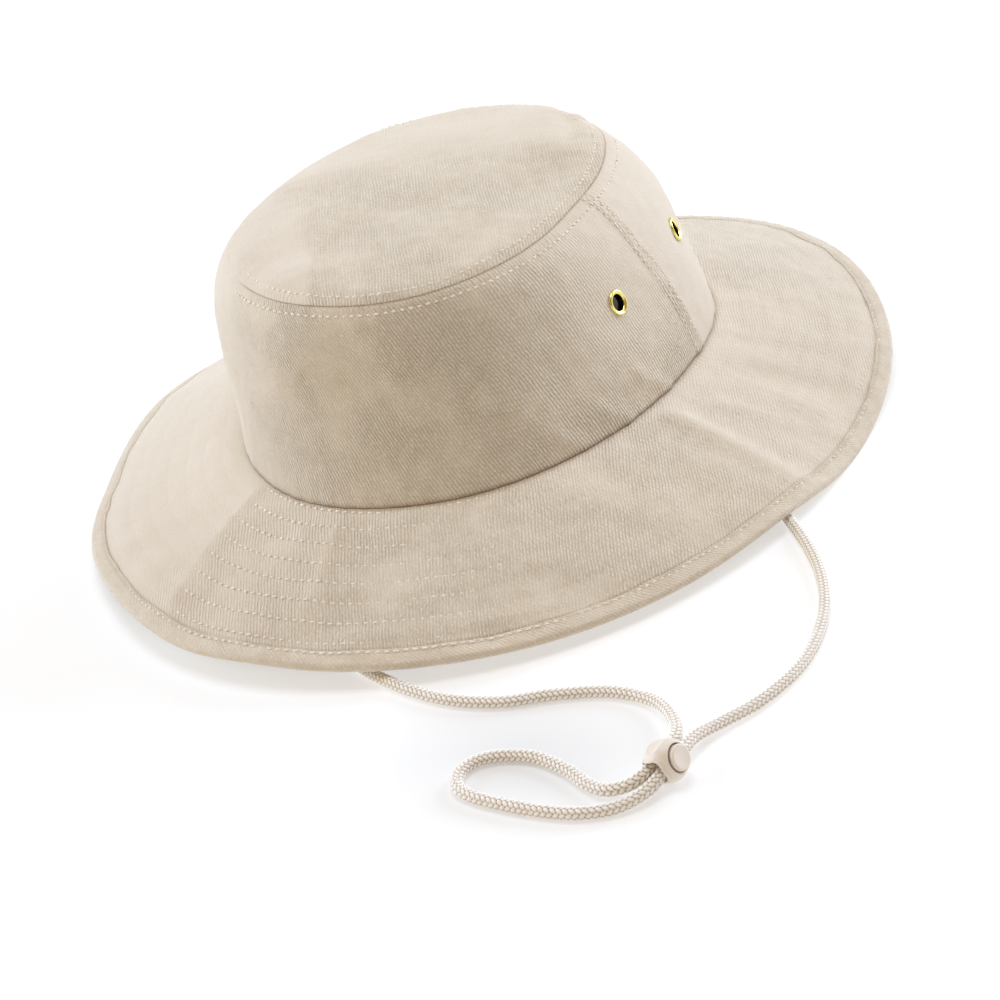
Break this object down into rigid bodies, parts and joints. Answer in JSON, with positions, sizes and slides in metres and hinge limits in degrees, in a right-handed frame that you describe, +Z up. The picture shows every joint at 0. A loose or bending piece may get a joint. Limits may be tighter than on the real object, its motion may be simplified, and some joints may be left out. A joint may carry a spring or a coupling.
{
  "type": "surf hat",
  "caption": "Wide-brimmed surf hat of cotton twill, with a low flat crown, side eyelets, a bound brim and a loose chin cord with a push-button toggle.",
  "frame": {"origin": "middle of the hat's outline seen from above, on the floor that the brim rests on, the cord and its toggle left out", "axes": "+Z up through the crown, the hat's front towards -Y, the wearer's left towards +X"},
  "size_m": [0.3214, 0.3898, 0.1033],
  "materials": {
    "cotton_twill": "matte brushed twill",
    "cord_braid": "matte round braid",
    "eyelet_brass": "polished",
    "toggle_plastic": "satin"
  },
  "bodies": {
    "hat": {"crown_tip": "cotton_twill", "band_front": "cotton_twill", "band_back": "cotton_twill", "brim": "cotton_twill", "brim_binding": "cotton_twill", "eyelet_left_front": "eyelet_brass", "eyelet_left_back": "eyelet_brass", "eyelet_right_front": "eyelet_brass", "eyelet_right_back": "eyelet_brass", "cord_tab_left": "cotton_twill", "cord_tab_right": "cotton_twill", "chin_cord": "cord_braid", "toggle_body": "toggle_plastic"},
    "button": {"toggle_button": "toggle_plastic"}
  },
  "joints": [
    {"name": "button_press", "type": "slide", "parent": "hat", "child": "button", "axis": [0.9067, -0.1113, 0.4067], "range_m": [-0.0013, 0], "stiffness_N_per_m": 900}
  ]
}
